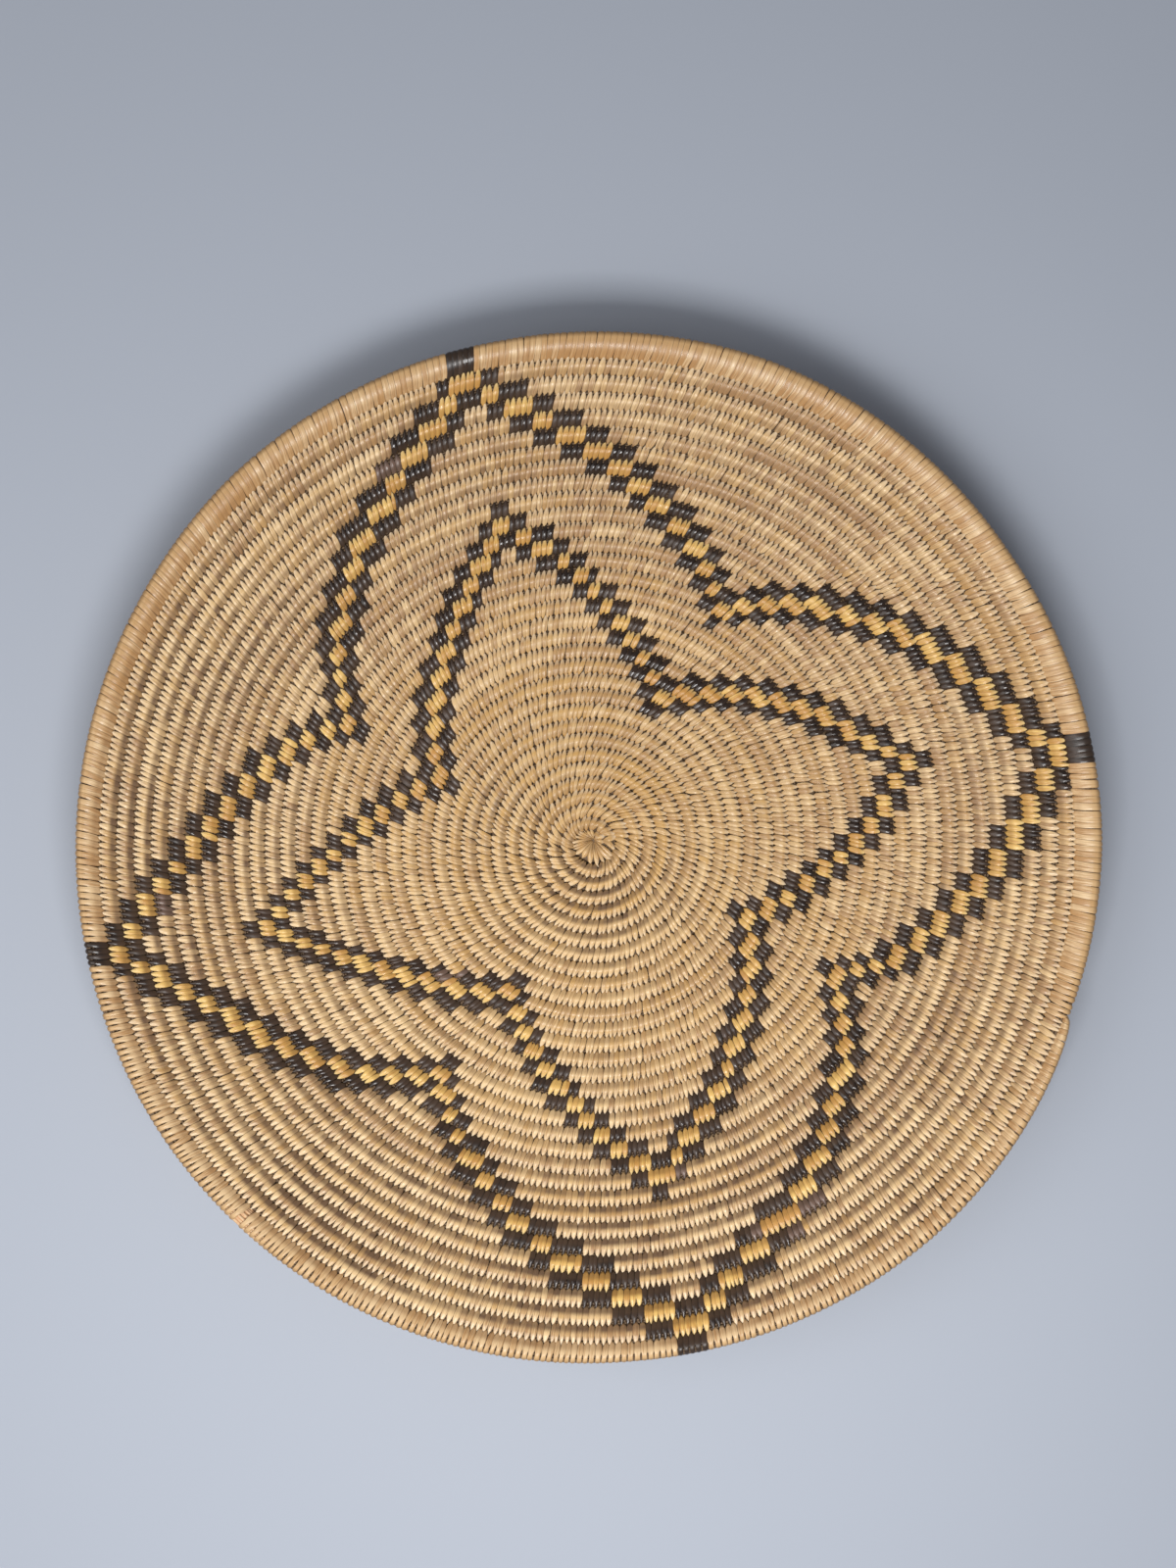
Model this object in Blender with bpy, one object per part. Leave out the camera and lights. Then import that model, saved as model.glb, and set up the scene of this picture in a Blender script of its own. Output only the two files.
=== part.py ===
"""Coiled basket tray: a spiral of sewn coils over a foundation, from a start knot to a tapered tail.

Metres, +Z up. The origin is the middle of the flat underside of the start knot.
Seen from above, the coil winds outward counter-clockwise. Places along the coil are given in
turns from its start, and places across the tray as a distance along its curved profile.
"""

import math

import bmesh
import bpy
from mathutils import Vector

# The coil: how often it goes round, where it starts and ends, and how wide it is
TURNS = 32
START_ANGLE = math.radians(340)
KNOT_RADIUS = 0.0038
COIL_WIDTH_START = 0.0043
COIL_WIDTH = 0.0051
COIL_WIDTH_RIM = 0.0060
EARLY_TURNS = 12
LATE_TURNS = 16
COIL_THICKNESS = 0.0050
SHOULDER_HEIGHT = 0.0030

# The tray's profile: a flat base, then a wall that bends upward
BASE_RADIUS = 0.060
WALL_BEND_RADIUS = 0.2265

# The sewn skin, the foundation inside it and the room between pieces
SPLINT_THICKNESS = 0.00055
FOUNDATION_TURNS = 2
KNOT_CHAMFER = 0.0012
GAP = 0.0003

# The tail, where the last turn thins out
TAIL_LENGTH = 0.082
TAIL_END_WIDTH = 0.0012
TAIL_THIN_SHARE = 0.45
TAIL_BLUNTNESS = 0.4

# How many straight steps make one turn, near the start, over most of the tray and at the rim
STEPS_START = 12
START_ROWS = 8
STEPS = 24
STEPS_RIM = 48
RIM_ROWS = 2

SHARP_ANGLE = math.radians(50)
MM_PER_M = 1000

# Linear colour, roughness and metallic of each finish
STRAW_SPLINT = ((0.45, 0.28, 0.16), 0.55, 0.0)
RIM_SPLINT = ((0.48, 0.26, 0.10), 0.50, 0.0)
KNOT_SPLINT = ((0.42, 0.25, 0.13), 0.55, 0.0)
FOUNDATION_STEM = ((0.60, 0.46, 0.28), 0.70, 0.0)


def seam(turns):
    """Distance from the middle, along the profile, to the coil's inner seam after this many turns."""
    early = max(0.0, 1 - turns / EARLY_TURNS)
    late = max(0.0, (turns - TURNS + LATE_TURNS) / LATE_TURNS)
    narrowing = (COIL_WIDTH_START - COIL_WIDTH) * EARLY_TURNS / 3 * (1 - early ** 3)
    widening = (COIL_WIDTH_RIM - COIL_WIDTH) * LATE_TURNS / 3 * late ** 3
    return KNOT_RADIUS + COIL_WIDTH * turns + narrowing + widening


def profile(distance):
    """Radius, height and slope of the coil's middle line at a distance along the tray's profile."""
    slope = max(0.0, distance - BASE_RADIUS) / WALL_BEND_RADIUS
    radius = min(distance, BASE_RADIUS) + WALL_BEND_RADIUS * math.sin(slope)
    height = COIL_THICKNESS / 2 + WALL_BEND_RADIUS * (1 - math.cos(slope))
    return radius, height, slope


def tail_share(turns):
    """Share of its full width that the last turn keeps: 1, then less over the tail."""
    rim_radius = profile(seam(TURNS))[0]
    to_end = max(0.0, TURNS - turns) * 2 * math.pi * rim_radius
    full = seam(TURNS + 1) - seam(TURNS)
    blunt = min(1.0, to_end / TAIL_LENGTH) ** TAIL_BLUNTNESS
    return 1 if blunt == 1 else (TAIL_END_WIDTH + (full - TAIL_END_WIDTH) * blunt) / full


class Section:
    """The coil's cross-section after a number of turns: its frame, half sizes and outlines."""

    def __init__(self, turns):
        share = tail_share(turns)
        self.full = share == 1
        thin = TAIL_THIN_SHARE + (1 - TAIL_THIN_SHARE) * share
        inner = seam(turns)
        outer = inner + (seam(turns + 1) - inner) * share
        self.angle = START_ANGLE + 2 * math.pi * turns
        self.radius, self.height, self.slope = profile((inner + outer) / 2)
        self.half_width = (outer - inner - GAP) / 2
        self.half_shoulder = SHOULDER_HEIGHT / 2 * thin
        self.half_thickness = COIL_THICKNESS / 2 * thin

    def place(self, points):
        """World places of points given across the coil and up from its middle line."""
        placed = []
        for across, up in points:
            radius = self.radius + across * math.cos(self.slope) - up * math.sin(self.slope)
            height = self.height + across * math.sin(self.slope) + up * math.cos(self.slope)
            placed.append(Vector((radius * math.cos(self.angle), radius * math.sin(self.angle), height)))
        return placed

    def skin(self):
        """Six corners: two upright sides where the rows touch, and a ridge above and below."""
        width, shoulder, ridge = self.half_width, self.half_shoulder, self.half_thickness
        return self.place([(-width, -shoulder), (0, -ridge), (width, -shoulder),
                           (width, shoulder), (0, ridge), (-width, shoulder)])

    def bore_corners(self):
        """Three corners of the hollow that the foundation fills, one splint inside the skin."""
        width = self.half_width - SPLINT_THICKNESS
        foot = SPLINT_THICKNESS - self.half_shoulder
        return [(-width, foot), (width, foot), (0, self.half_thickness - SPLINT_THICKNESS)]

    def bore(self):
        return self.place(self.bore_corners())

    def foundation(self):
        return self.place(inset_triangle(self.bore_corners(), GAP))


def inset_triangle(corners, distance):
    """The triangle with each side moved inward by a distance."""
    points = [Vector(corner) for corner in corners]
    sides = [(points[(i + 1) % 3] - points[(i + 2) % 3]).length for i in range(3)]
    centre = sum((side * point for side, point in zip(sides, points)), Vector((0, 0))) / sum(sides)
    first = points[1] - points[0]
    second = points[2] - points[0]
    in_radius = abs(first.cross(second)) / sum(sides)
    return [tuple(centre + (point - centre) * (1 - distance / in_radius)) for point in points]


def end_gap(turns):
    """Half the gap between two pieces that meet end to end, in turns."""
    return GAP / 2 / (2 * math.pi * profile(seam(turns))[0])


def steps_in_row(row):
    if row <= START_ROWS:
        return STEPS_START
    if row > TURNS - RIM_ROWS:
        return STEPS_RIM
    return STEPS


def stations(first_row, last_row):
    """Places along the coil, in turns, from the start of one row to the end of another."""
    start = first_row - 1
    places = [start + end_gap(start)]
    for row in range(first_row, last_row + 1):
        steps = steps_in_row(row)
        places += [row - 1 + step / steps for step in range(1, steps + 1)]
    places[-1] = last_row - end_gap(last_row)
    return places


def sweep(mesh, rings):
    """Extrude a closed ring of edges through the given rings of points; return its two end loops."""
    verts = [mesh.verts.new(point) for point in rings[0]]
    loop = [mesh.edges.new((verts[i - 1], verts[i])) for i in range(len(verts))]
    first_loop = list(loop)
    for ring in rings[1:]:
        made = bmesh.ops.extrude_edge_only(mesh, edges=loop)["geom"]
        new_verts = {item for item in made if isinstance(item, bmesh.types.BMVert)}
        moved = []
        for vert, point in zip(verts, ring):
            above = next(v for edge in vert.link_edges
                         if (v := edge.other_vert(vert)) in new_verts)
            above.co = point
            moved.append(above)
        verts = moved
        loop = [mesh.edges.get((verts[i - 1], verts[i])) for i in range(len(verts))]
    return first_loop, loop


def close_end(mesh, edges):
    """Fill the flat end bounded by these edges; a second loop inside the first stays open."""
    bmesh.ops.triangle_fill(mesh, edges=edges, use_beauty=True, use_dissolve=False)


def make_object(name, mesh, finish):
    """Finish a closed mesh and put it in the scene with its own material."""
    bmesh.ops.triangulate(mesh, faces=mesh.faces[:])
    bmesh.ops.recalc_face_normals(mesh, faces=mesh.faces[:])
    data = bpy.data.meshes.new(name)
    mesh.to_mesh(data)
    mesh.free()
    data.shade_smooth()
    data.set_sharp_from_angle(angle=SHARP_ANGLE)
    colour, roughness, metallic = finish
    material = bpy.data.materials.new(name)
    material.use_nodes = True
    shader = material.node_tree.nodes["Principled BSDF"]
    shader.inputs["Base Color"].default_value = (*colour, 1)
    shader.inputs["Roughness"].default_value = roughness
    shader.inputs["Metallic"].default_value = metallic
    data.materials.append(material)
    bpy.context.scene.collection.objects.link(bpy.data.objects.new(name, data))


def knot_outline(inset, height):
    """The snail-shaped edge of the start knot, which the first row winds round."""
    lead = end_gap(0)
    places = [-lead] + [step / STEPS_START for step in range(1, STEPS_START)] + [1 - lead]
    outline = []
    for turns in places:
        angle = START_ANGLE + 2 * math.pi * turns
        radius = seam(max(0.0, turns)) - GAP / 2 - inset
        outline.append(Vector((radius * math.cos(angle), radius * math.sin(angle), height)))
    return outline


def make_start_knot():
    """The wrapped start: a low snail-shaped button with a flat underside."""
    middle = COIL_THICKNESS / 2
    mesh = bmesh.new()
    bottom, top = sweep(mesh, [
        knot_outline(KNOT_CHAMFER, 0),
        knot_outline(0, middle - SHOULDER_HEIGHT / 2),
        knot_outline(0, middle + SHOULDER_HEIGHT / 2),
        knot_outline(KNOT_CHAMFER, COIL_THICKNESS),
    ])
    close_end(mesh, bottom)
    close_end(mesh, top)
    make_object("start_knot", mesh, KNOT_SPLINT)


def make_row(row):
    """One turn of sewn skin, open at both ends for the foundation; the last one ends in the tail."""
    places = [Section(turns) for turns in stations(row, row)]
    hollow = [place for place in places if place.full]
    mesh = bmesh.new()
    outer_start, outer_end = sweep(mesh, [place.skin() for place in places])
    bore_start, bore_end = sweep(mesh, [place.bore() for place in hollow])
    close_end(mesh, outer_start + bore_start)
    if len(hollow) == len(places):
        close_end(mesh, outer_end + bore_end)
    else:
        close_end(mesh, outer_end)
        close_end(mesh, bore_end)
    is_rim = row == TURNS
    name = "rim_coil" if is_rim else f"coil_row_{row:02d}"
    make_object(name, mesh, RIM_SPLINT if is_rim else STRAW_SPLINT)


def make_foundation(number, first_row, last_row):
    """One length of the foundation, lying in the bores of its rows."""
    places = [Section(turns) for turns in stations(first_row, last_row)]
    filled = [place for place in places if place.full]
    if len(filled) < len(places):
        filled.pop()
    mesh = bmesh.new()
    start, end = sweep(mesh, [place.foundation() for place in filled])
    close_end(mesh, start)
    close_end(mesh, end)
    make_object(f"foundation_{number:02d}", mesh, FOUNDATION_STEM)


def report_sizes():
    """Print the tray's outer size and the least gap between neighbouring rows at their corners."""
    corners = [
        thing.matrix_world @ Vector(corner)
        for thing in bpy.context.scene.objects
        for corner in thing.bound_box
    ]
    size = [max(corner[axis] for corner in corners) - min(corner[axis] for corner in corners)
            for axis in range(3)]
    gaps = []
    for row in range(1, TURNS):
        for place in stations(row, row)[1:-1]:
            inner_row = Section(place).skin()
            outer_row = Section(place + 1).skin()
            gaps.append((outer_row[0] - inner_row[2]).length)
            gaps.append((outer_row[5] - inner_row[3]).length)
    print("tray size in mm:", " x ".join(f"{length * MM_PER_M:.1f}" for length in size))
    print(f"least gap between neighbouring rows: {min(gaps) * MM_PER_M:.3f} mm")


def main():
    for old in list(bpy.data.objects):
        bpy.data.objects.remove(old, do_unlink=True)
    make_start_knot()
    for row in range(1, TURNS + 1):
        make_row(row)
    lengths = range(1, TURNS + 1, FOUNDATION_TURNS)
    for number, first_row in enumerate(lengths, start=1):
        make_foundation(number, first_row, min(first_row + FOUNDATION_TURNS - 1, TURNS))
    report_sizes()


main()
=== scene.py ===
# %% [markdown]
# # A coiled basket tray, wrap by wrap
#
# The real tray is one long bundle of thin stems, coiled from the middle outward and sewn to the row
# before it with flat splints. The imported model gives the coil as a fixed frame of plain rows.
# This script dresses that frame: every wrap of splint becomes a small closed band of its own,
# because the rows of little pointed wraps are what the eye reads as basketry, and no bump map
# gives them.

import bisect
import math

import bmesh
import bpy
import numpy as np
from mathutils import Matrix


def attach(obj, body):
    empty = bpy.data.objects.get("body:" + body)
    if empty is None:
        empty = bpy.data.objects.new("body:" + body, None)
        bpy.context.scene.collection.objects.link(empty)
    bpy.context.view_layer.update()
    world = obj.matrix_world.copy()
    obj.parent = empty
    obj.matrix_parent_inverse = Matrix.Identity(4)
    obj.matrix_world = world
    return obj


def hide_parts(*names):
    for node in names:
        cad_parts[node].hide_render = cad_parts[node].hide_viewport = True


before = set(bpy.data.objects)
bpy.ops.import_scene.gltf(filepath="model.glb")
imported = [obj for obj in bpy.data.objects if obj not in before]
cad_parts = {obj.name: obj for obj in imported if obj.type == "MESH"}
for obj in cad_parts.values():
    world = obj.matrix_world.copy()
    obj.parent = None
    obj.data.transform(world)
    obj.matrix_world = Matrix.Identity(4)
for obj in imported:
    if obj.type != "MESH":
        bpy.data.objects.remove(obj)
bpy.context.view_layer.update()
print("nodes in the frame:", len(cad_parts))

# %% [markdown]
# ## Camera, floor and light
#
# The photograph looks straight down, from a point 20 mm off the tray's middle, towards the top of
# the picture. The lens and height below give the tray the same place and size in the picture.
# Two soft lamps light it. The nearer one hangs high over the bottom of the picture and throws the
# shadow at the top. The other stands further off and lower at the left, and its shadow at the right
# is longer and softer. A plain grey sky fills the rest. The floor is a pale blue-grey sheet.

# %% Colours are written as the screen shows them
def linear(hex_colour):
    """Linear red, green, blue and alpha of an sRGB hex colour."""
    levels = [int(hex_colour[start:start + 2], 16) / 255 for start in (1, 3, 5)]
    return (*[level / 12.92 if level <= 0.04045 else ((level + 0.055) / 1.055) ** 2.4
              for level in levels], 1.0)


def add_node(tree, kind, settings=None, links=None):
    """Add a node, set its properties and sockets, and link its inputs from other sockets."""
    node = tree.nodes.new(kind)
    for name, value in (settings or {}).items():
        if isinstance(name, int) or name in node.inputs:
            node.inputs[name].default_value = value
        else:
            setattr(node, name, value)
    for name, socket in (links or {}).items():
        tree.links.new(socket, node.inputs[name])
    return node


# %% Camera
CAMERA_PLACE = (-0.0012, 0.0202, 0.700)
LENS_MM = 47.25

camera = bpy.data.objects.new("camera", bpy.data.cameras.new("camera"))
camera.data.lens = LENS_MM
camera.data.sensor_width = 36
camera.location = CAMERA_PLACE
bpy.context.scene.collection.objects.link(camera)
bpy.context.scene.camera = camera
bpy.context.scene.view_settings.view_transform = "Standard"
print("camera height in mm:", round(camera.location.z * 1000))

# %% Lamps and sky
SKY_COLOUR = "#e6ebf5"
SKY_STRENGTH = 0.235


def hang_lamp(name, azimuth, elevation, distance, length, width, watts):
    """A soft rectangular lamp that faces the tray, its long side level."""
    lamp = bpy.data.objects.new(name, bpy.data.lights.new(name, "AREA"))
    lamp.data.shape = "RECTANGLE"
    lamp.data.size = length
    lamp.data.size_y = width
    lamp.data.energy = watts
    lamp.visible_camera = False
    azimuth, elevation = math.radians(azimuth), math.radians(elevation)
    lamp.location = (distance * math.cos(elevation) * math.cos(azimuth),
                     distance * math.cos(elevation) * math.sin(azimuth),
                     distance * math.sin(elevation))
    lamp.rotation_mode = "QUATERNION"
    lamp.rotation_quaternion = lamp.location.to_track_quat("Z", "Y")
    bpy.context.scene.collection.objects.link(lamp)
    print(name, "at", [round(value, 2) for value in lamp.location])


hang_lamp("near_lamp", azimuth=270, elevation=68, distance=0.67, length=0.36, width=0.20, watts=2.9)
hang_lamp("far_lamp", azimuth=198, elevation=49, distance=1.26, length=1.3, width=0.9, watts=5.3)

world = bpy.data.worlds.new("studio")
world.use_nodes = True
bpy.context.scene.world = world
world.node_tree.nodes["Background"].inputs["Color"].default_value = linear(SKY_COLOUR)
world.node_tree.nodes["Background"].inputs["Strength"].default_value = SKY_STRENGTH
print("sky strength:", SKY_STRENGTH)

# %% Floor
FLOOR_HALF_WIDTH = 3.0
FLOOR_DROP = 0.0002

floor_mesh = bmesh.new()
bmesh.ops.create_grid(floor_mesh, x_segments=1, y_segments=1, size=FLOOR_HALF_WIDTH)
bmesh.ops.translate(floor_mesh, verts=floor_mesh.verts, vec=(0, 0, -FLOOR_DROP))
floor_data = bpy.data.meshes.new("floor")
floor_mesh.to_mesh(floor_data)
floor_mesh.free()
floor = bpy.data.objects.new("floor", floor_data)
bpy.context.scene.collection.objects.link(floor)

# Card with a coated face: the coating gives it a soft, even sheen and hides the grain of the paper.
floor_finish = bpy.data.materials.new("coated_grey_sheet")
floor_finish.use_nodes = True
floor_shader = floor_finish.node_tree.nodes["Principled BSDF"]
floor_shader.inputs["Base Color"].default_value = linear("#bac0cb")
floor_shader.inputs["Roughness"].default_value = 0.6
floor_shader.inputs["Specular IOR Level"].default_value = 0.3
floor_data.materials.append(floor_finish)
print("floor is", FLOOR_HALF_WIDTH * 2, "m wide")

# %% [markdown]
# ## The coil's path
#
# The coil is a spiral that lies on a curved profile: flat in the middle, then rising as the wall.
# These are the same formulas as the frame's, so every wrap sits exactly where its row is.
# A place on the coil is given by three numbers: how many turns from the start, how far across the
# row (-1 at its inner seam, 1 at its outer seam), and how far up (1 at the top ridge).
# The real rim coil isn't even. Its outer side swells by a few millimetres on the right and at the
# upper right and is a little slack at the bottom, so the rim has a small table of its own for that.

# %% The spiral in numbers
TURNS = 32
START_ANGLE = math.radians(340)
KNOT_RADIUS = 0.0038
COIL_WIDTH_START = 0.0043
COIL_WIDTH = 0.0051
COIL_WIDTH_RIM = 0.0060
EARLY_TURNS = 12
LATE_TURNS = 16
COIL_THICKNESS = 0.0050
BASE_RADIUS = 0.060
WALL_BEND_RADIUS = 0.2265
TAIL_LENGTH = 0.082
TAIL_END_WIDTH = 0.0012
TAIL_THIN_SHARE = 0.45
TAIL_BLUNTNESS = 0.4


def seam(turns):
    """Distance from the middle, along the profile, to the coil's inner seam."""
    early = np.maximum(0.0, 1 - turns / EARLY_TURNS)
    late = np.maximum(0.0, (turns - TURNS + LATE_TURNS) / LATE_TURNS)
    narrowing = (COIL_WIDTH_START - COIL_WIDTH) * EARLY_TURNS / 3 * (1 - early ** 3)
    widening = (COIL_WIDTH_RIM - COIL_WIDTH) * LATE_TURNS / 3 * late ** 3
    return KNOT_RADIUS + COIL_WIDTH * turns + narrowing + widening


def profile(distance):
    """Radius, height and slope at a distance along the tray's profile."""
    slope = np.maximum(0.0, distance - BASE_RADIUS) / WALL_BEND_RADIUS
    radius = np.minimum(distance, BASE_RADIUS) + WALL_BEND_RADIUS * np.sin(slope)
    height = COIL_THICKNESS / 2 + WALL_BEND_RADIUS * (1 - np.cos(slope))
    return radius, height, slope


def tail_share(turns):
    """Share of its full width that the coil keeps: 1, then less over the tail."""
    rim_radius = profile(seam(TURNS))[0]
    to_end = np.maximum(0.0, TURNS - turns) * 2 * np.pi * rim_radius
    full = seam(TURNS + 1) - seam(TURNS)
    blunt = np.minimum(1.0, to_end / TAIL_LENGTH) ** TAIL_BLUNTNESS
    return np.where(blunt == 1, 1.0, (TAIL_END_WIDTH + (full - TAIL_END_WIDTH) * blunt) / full)


def row_edges(turns):
    """Distances along the profile to the row's inner and outer seams."""
    inner = seam(turns)
    return inner, inner + (seam(turns + 1) - inner) * tail_share(turns)


# Degrees along the rim from where its turn begins, and how far its edge swells out there, in mm.
RIM_SWELL_DEGREES = [0, 20, 40, 55, 75, 90, 105, 120, 140, 155,
                     172, 200, 235, 262, 280, 295, 312, 335, 360]
RIM_SWELL_MM = [1.1, 1.9, 1.65, 1.35, 2.4, 2.9, 2.0, 1.2, 1.25, 1.55,
                0.85, 0.7, 1.05, 0.8, 0.1, -0.65, -0.55, -0.35, 0.0]


def rim_swell(turns):
    """How much further out the rim's outer edge lies than the frame's, in metres."""
    on_rim = turns >= TURNS - 1
    swell = np.interp((turns - TURNS + 1) * 360, RIM_SWELL_DEGREES, RIM_SWELL_MM) / 1000
    return np.where(on_rim, swell, 0.0)


def put_on_section(turns, edges, across, up):
    """World places for points given by their turns, their share across and their share up."""
    inner, outer = edges
    thin = TAIL_THIN_SHARE + (1 - TAIL_THIN_SHARE) * tail_share(turns)
    radius, height, slope = profile((inner + outer) / 2)
    out = across * (outer - inner) / 2 + np.maximum(0.0, across) * rim_swell(turns)
    rise = up * COIL_THICKNESS / 2 * thin
    angle = START_ANGLE + 2 * np.pi * turns
    reach = radius + out * np.cos(slope) - rise * np.sin(slope)
    return np.stack([reach * np.cos(angle), reach * np.sin(angle),
                     height + out * np.sin(slope) + rise * np.cos(slope)], axis=-1)


def row_radius(turns):
    """Radius of the middle of the row."""
    inner, outer = row_edges(turns)
    return profile((inner + outer) / 2)[0]


print(f"rim radius in mm: {float(row_radius(31.5)) * 1000:.1f}")

# %% [markdown]
# ## Where the wraps go
#
# The maker sews one wrap at a time, and each new wrap goes down between two wraps of the row
# before, so the wraps of neighbouring rows interlock like teeth. An extra wrap is added now and
# then, because each row is longer than the last. A plain even spacing would drift through the row
# before and show as moire, so the walk below takes an even step and is then pulled towards the next
# gap in turn. It keeps count of what the row owes, and puts two wraps in one gap, or skips a gap,
# when it owes one. A wrap that has drifted far from its gap takes the next one instead.
# The wraps also lean: their outer ends lie a little clockwise of their inner ends.

# %% Spacing and lean of the wraps
WRAP_SPACING_TURNS = [0, 3, 8, 15, 20, 27, 31, 32]
WRAP_SPACING = [0.00162, 0.00178, 0.00190, 0.00178, 0.00186, 0.00190, 0.00198, 0.00204]
LEAN_TURNS = [0, 3, 5, 9, 13, 22, 32]
LEAN_DEGREES = [26, 25, 21, 17, 14, 11.5, 10.5]
LEAN_SWING_TURNS = [0, 13, 22, 32]
LEAN_SWING_DEGREES = [2, 3, 5, 6]
LEAN_MOST_AT = math.radians(130)
SEED = 27
GAP_PULL = 0.4
LEAST_STEP = 0.4
SPACING_JITTER = 0.055
EARLY_JITTER, EARLY_JITTER_TURNS = 0.12, 4
EARLY_OVERLAP, EARLY_OVERLAP_TURNS = 0.10, 5
LOST_STEPS = 1.2
OWED_LEAST, OWED_SPREAD = 0.5, 0.3
LEAN_JITTER_DEGREES = 2.5
TOOTH_REACH = 1.14
LOBE_REACH = 1.40

chance = np.random.default_rng(SEED)


def lean_at(turns):
    """How far the outer end lies behind the inner end, in metres across a full row."""
    angle = START_ANGLE + 2 * math.pi * turns
    swing = np.interp(turns, LEAN_SWING_TURNS, LEAN_SWING_DEGREES)
    degrees = np.interp(turns, LEAN_TURNS, LEAN_DEGREES) + swing * math.cos(angle - LEAN_MOST_AT)
    inner, outer = row_edges(turns)
    return math.tan(math.radians(degrees)) * float(outer - inner)


def walk_the_coil():
    """Turns and lean of every wrap, each pulled towards its gap in the row before."""
    places, leans, teeth = [], [], []
    turns, gap, owed = 0.0, 0, 0.0
    while turns < TURNS:
        around = 2 * math.pi * float(row_radius(turns))
        even_step = np.interp(turns, WRAP_SPACING_TURNS, WRAP_SPACING) / around
        jitter = SPACING_JITTER + EARLY_JITTER * math.exp(-turns / EARLY_JITTER_TURNS)
        step = even_step * max(LEAST_STEP, 1 + jitter * chance.standard_normal())
        turns += step
        lean = lean_at(turns)
        half_lean = lean / 2 / around
        lobe = turns + half_lean * LOBE_REACH - 1
        if gap == 0 and len(teeth) > 2 and lobe > teeth[1]:
            gap = 1
        if gap > 0:
            owed += (teeth[gap + 1] - teeth[gap]) / even_step - 1
            allowed = OWED_LEAST + OWED_SPREAD * chance.random()
            advance = 0 if owed > allowed else 2 if owed < -allowed else 1
            owed += advance - 1
            gap += advance
            middle = (teeth[gap] + teeth[gap - 1]) / 2
            if abs(middle - lobe) > LOST_STEPS * step:
                gap += 1 if middle < lobe else -1
                middle = (teeth[gap] + teeth[gap - 1]) / 2
            turns += GAP_PULL * max(-step, min(step, middle - lobe))
        places.append(turns)
        leans.append(lean)
        bisect.insort(teeth, turns - half_lean * TOOTH_REACH)
    return np.array(places[:-1]), np.array(leans[:-1])


wrap_turns, wrap_lean = walk_the_coil()
early_overlap = EARLY_OVERLAP * np.exp(-wrap_turns / EARLY_OVERLAP_TURNS)
wrap_steps = np.gradient(wrap_turns) * (1 + early_overlap)
print("wraps:", len(wrap_turns))

# %% [markdown]
# ## The star, cell by cell
#
# Two four-pointed stars are worked into the tray. Each flank of a star is a stair of cells, one row
# a step: dark, gold, dark. The maker counts wraps to place them, so each flank below is a list of
# the angles at which its cells begin, from the tip inward. Row numbers count full turns from the
# middle, measured from the right-hand side of the tray.

# %% The count of each flank, in degrees round the tray
CHART_LEAD = 1.0556
OUTER_STAR = {
    "tip_row": 30,
    "tips": [(9.8, 12.7), (103.3, 106.9), (191.2, 193.9), (279.8, 283.2)],
    "valleys": [(59.8, 63.1), (151.9, 155.9), (235.3, 238.8), (330.2, 333.7)],
    "flanks": [
        (10.6, 12.8, 15.0, 18.7, 23.0, 28.0, 32.2, 36.2, 39.9, 43.7, 48.0, 51.8, 55.5, 58.6, 62.8),
        (12.8, 9.6, 6.6, 3.1, -0.1, -0.8, -4.2, -7.5, -10.7, -14.5, -18.1, -22.1, -24.3, -26.9,
         -30.4),
        (104.0, 106.9, 109.0, 112.6, 116.4, 119.9, 124.5, 129.3, 132.9, 136.8, 141.2, 145.0, 147.7,
         151.6, 155.3),
        (105.7, 103.5, 101.2, 97.9, 94.8, 91.0, 87.4, 83.8, 80.4, 76.7, 72.9, 69.0, 65.6, 62.9,
         59.6),
        (191.9, 194.1, 195.8, 198.8, 201.1, 204.0, 207.5, 211.7, 215.6, 219.2, 223.8, 227.3, 231.1,
         234.7, 238.5),
        (194.0, 191.7, 189.2, 186.4, 184.2, 182.0, 178.7, 175.7, 172.3, 168.7, 164.7, 160.9, 158.1,
         154.8, 151.5),
        (279.3, 283.6, 286.3, 289.6, 293.8, 299.3, 303.4, 307.8, 311.1, 315.2, 319.4, 322.9, 326.3,
         329.6, 332.9),
        (283.5, 279.9, 276.3, 272.7, 268.5, 264.5, 261.0, 257.6, 254.1, 251.0, 246.7, 243.8, 241.1,
         237.0, 234.7),
    ],
}
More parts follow.
